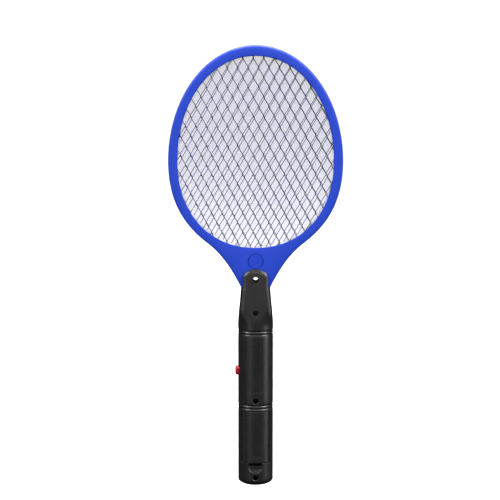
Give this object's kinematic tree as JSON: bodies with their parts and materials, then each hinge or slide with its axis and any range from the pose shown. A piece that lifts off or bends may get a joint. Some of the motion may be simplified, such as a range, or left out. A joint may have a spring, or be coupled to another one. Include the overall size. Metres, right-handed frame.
{
  "type": "electric fly swatter",
  "caption": "Racket-shaped electric fly swatter: oval frame with layered wire grids on a straight oval grip with a battery door and a side push button.",
  "frame": {"origin": "on the axis of the handle in the middle of the grip, 100 mm above the butt, where the hand holds it", "axes": "+Z along the handle towards the head, +X across the head, the battery door and screw recesses face -Y, the push button is on the -X side"},
  "size_m": [0.18, 0.0313, 0.46],
  "materials": {
    "frame_plastic": "satin moulded ABS, royal blue",
    "handle_plastic": "fine-textured moulded ABS, black",
    "button_plastic": "glossy moulded ABS, red",
    "grid_steel": "zinc-plated expanded steel",
    "fine_grid_steel": "bright fine steel wire",
    "spacer_plastic": "natural white plastic",
    "screw_steel": "black-oxide self-tapping screw",
    "contact_steel": "nickel-plated spring steel",
    "battery_jacket": "shrunk film jacket with a plain band",
    "component_black": "moulded epoxy",
    "board": "paper phenolic board",
    "ferrite": "sintered ferrite",
    "winding_tape": "polyester tape over copper winding",
    "film_capacitor": "dipped epoxy, brown",
    "ceramic_capacitor": "dipped epoxy, blue",
    "resistor_coat": "beige lacquer",
    "led_lens": "clear red epoxy",
    "red_wire": "PVC insulation",
    "black_wire": "PVC insulation"
  },
  "bodies": {
    "swatter": {"head_frame_front": "frame_plastic", "head_frame_rear": "frame_plastic", "grid_front": "grid_steel", "grid_spacer_front": "spacer_plastic", "grid_centre": "fine_grid_steel", "grid_spacer_rear": "spacer_plastic", "grid_rear": "grid_steel", "handle_shell_front": "handle_plastic", "handle_shell_rear": "handle_plastic", "screw_butt": "screw_steel", "screw_middle": "screw_steel", "screw_neck": "screw_steel", "switch_body": "component_black", "battery_1": "battery_jacket", "battery_2": "battery_jacket", "contact_link": "contact_steel", "contact_positive": "contact_steel", "contact_negative": "contact_steel", "spring_lower": "contact_steel", "spring_upper": "contact_steel", "circuit_board": "board", "transformer_core": "ferrite", "transformer_winding": "winding_tape", "storage_capacitor": "film_capacitor", "multiplier_capacitor_1": "ceramic_capacitor", "multiplier_capacitor_2": "ceramic_capacitor", "transistor": "component_black", "diode_1": "component_black", "diode_2": "component_black", "diode_3": "component_black", "resistor_base": "resistor_coat", "resistor_led": "resistor_coat", "resistor_bleed": "resistor_coat", "indicator_led": "led_lens", "lead_high_voltage": "red_wire", "lead_ground": "black_wire", "lead_ground_bridge": "black_wire", "lead_battery_positive": "red_wire", "lead_battery_negative": "black_wire"},
    "button": {"push_button": "button_plastic", "switch_plunger": "component_black"},
    "door": {"battery_door": "handle_plastic"}
  },
  "joints": [
    {"name": "button_press", "type": "slide", "parent": "swatter", "child": "button", "axis": [1, 0, 0], "range_m": [0, 0.0015], "stiffness_N_per_m": 400, "springref_m": -0.0005},
    {"name": "door_swing", "type": "hinge", "parent": "swatter", "child": "door", "pos_m": [0, -0.0155, -0.01965], "axis": [-1, 0, 0], "range_deg": [0, 65]}
  ]
}
